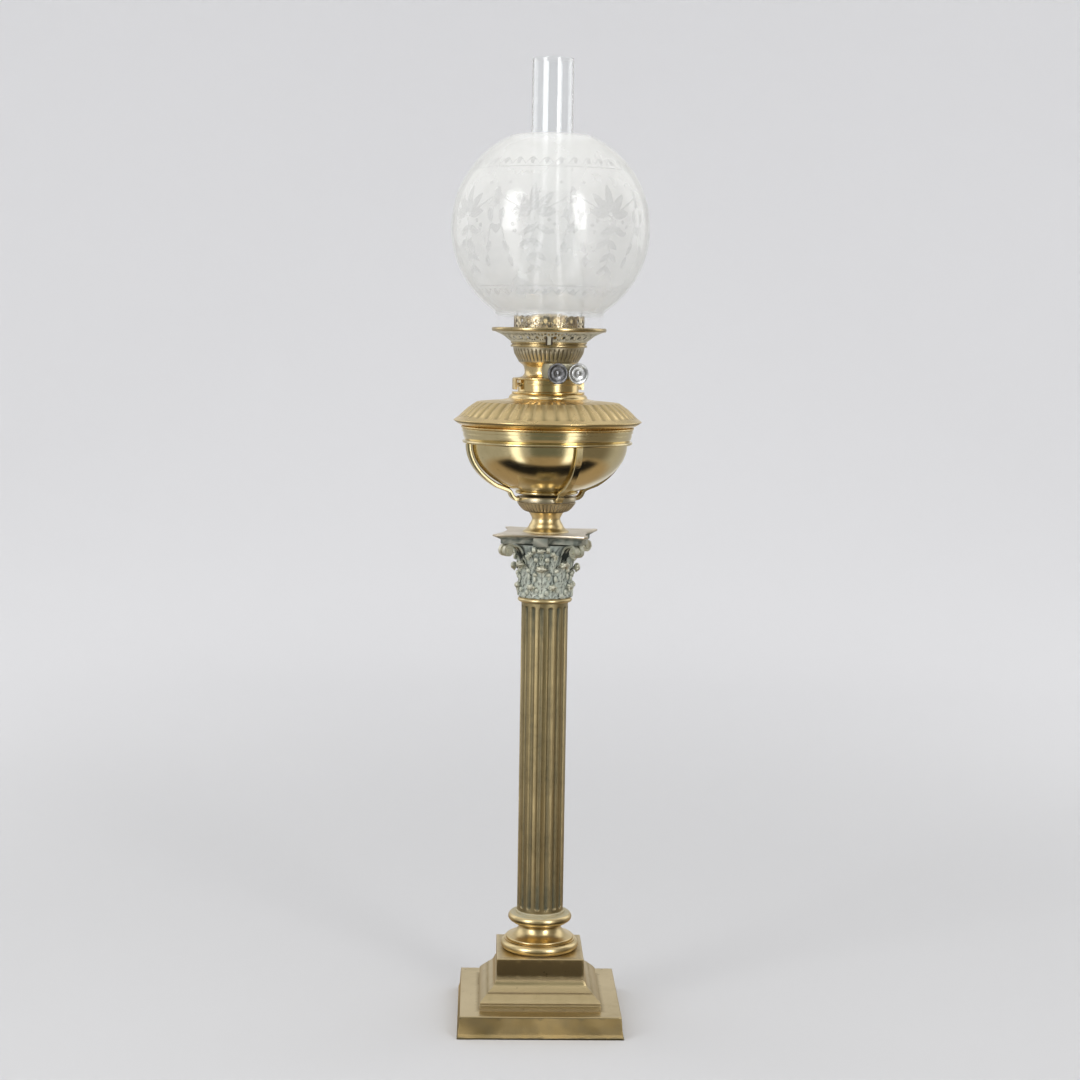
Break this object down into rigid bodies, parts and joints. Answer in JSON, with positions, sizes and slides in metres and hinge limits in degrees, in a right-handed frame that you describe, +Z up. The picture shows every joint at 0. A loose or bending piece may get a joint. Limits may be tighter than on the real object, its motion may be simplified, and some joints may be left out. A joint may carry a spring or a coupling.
{
  "type": "column oil lamp",
  "caption": "Tall oil lamp: stepped square plinth, fluted column with leafed capital, lift-out font in a strap cage, twin wick burner, chimney and globe.",
  "frame": {"origin": "middle of the plinth's underside, on the surface that the lamp stands on", "axes": "+Z up along the column, -Y towards the plinth's front face, +X to the right seen from the front"},
  "size_m": [0.187, 0.187, 0.9136],
  "materials": {
    "aged_brass": "aged, brown in the hollows, rubbed on the edges",
    "verdigris_brass": "dull, green grey deposit on brass",
    "bright_brass": "polished, lightly tarnished",
    "satin_brass": "satin, cloudy tarnish",
    "steel": "dull nickel grey",
    "cotton": "woven flat wick",
    "clear_glass": "clear, blown",
    "frosted_glass": "acid frosted with an etched leaf pattern, clear at the fitter"
  },
  "bodies": {
    "stand": {"plinth": "aged_brass", "column_base": "bright_brass", "column": "aged_brass", "neck_ring": "bright_brass", "capital": "verdigris_brass", "abacus": "aged_brass", "stem": "bright_brass", "holder_cup": "bright_brass", "holder_ring": "satin_brass", "front_strap": "satin_brass", "right_strap": "satin_brass", "back_strap": "satin_brass", "left_strap": "satin_brass", "tie_rod": "steel", "bottom_washer": "steel", "bottom_nut": "steel", "top_nut": "steel"},
    "font": {"font_foot": "satin_brass", "font_bowl": "satin_brass", "font_shoulder": "bright_brass", "font_collar": "bright_brass"},
    "burner": {"burner_base": "bright_brass", "spindle_casing": "aged_brass", "air_bowl": "bright_brass", "left_wick_tube": "bright_brass", "right_wick_tube": "bright_brass", "gallery_cone": "bright_brass", "gallery_plate": "bright_brass", "coronet": "bright_brass", "flame_cone": "bright_brass"},
    "left_winder": {"left_spindle": "steel", "left_wheels": "steel", "left_knob": "steel"},
    "right_winder": {"right_spindle": "steel", "right_wheels": "steel", "right_knob": "steel"},
    "left_wick": {"left_wick": "cotton"},
    "right_wick": {"right_wick": "cotton"},
    "chimney": {"chimney": "clear_glass"},
    "globe": {"globe": "frosted_glass"}
  },
  "joints": [
    {"name": "font_lift", "type": "slide", "parent": "stand", "child": "font", "axis": [0, 0, 1], "range_m": [0, 0.09]},
    {"name": "burner_twist", "type": "hinge", "parent": "font", "child": "burner", "pos_m": [0, 0, 0.6153], "axis": [0, 0, 1], "range_deg": [0, 20]},
    {"name": "left_winder_turn", "type": "hinge", "parent": "burner", "child": "left_winder", "pos_m": [-0.00961, -0.0034, 0.6221], "axis": [0.3338, -0.9426, 0], "range_deg": [-174, 107]},
    {"name": "right_winder_turn", "type": "hinge", "parent": "burner", "child": "right_winder", "pos_m": [0.00961, 0.0034, 0.6221], "axis": [0.3338, -0.9426, 0], "range_deg": [-107, 174]},
    {"name": "left_wick_feed", "type": "slide", "parent": "burner", "child": "left_wick", "axis": [0, 0, 1], "range_m": [-0.01, 0.006]},
    {"name": "right_wick_feed", "type": "slide", "parent": "burner", "child": "right_wick", "axis": [0, 0, 1], "range_m": [-0.01, 0.006]},
    {"name": "chimney_lift", "type": "slide", "parent": "burner", "child": "chimney", "axis": [0, 0, 1], "range_m": [0, 0.26]},
    {"name": "globe_lift", "type": "slide", "parent": "burner", "child": "globe", "axis": [0, 0, 1], "range_m": [0, 0.26]}
  ],
  "couplings": [
    {"joint": "left_winder_turn", "follows": "left_wick_feed", "rad_per_m": 294.12},
    {"joint": "right_winder_turn", "follows": "right_wick_feed", "rad_per_m": -294.12}
  ]
}
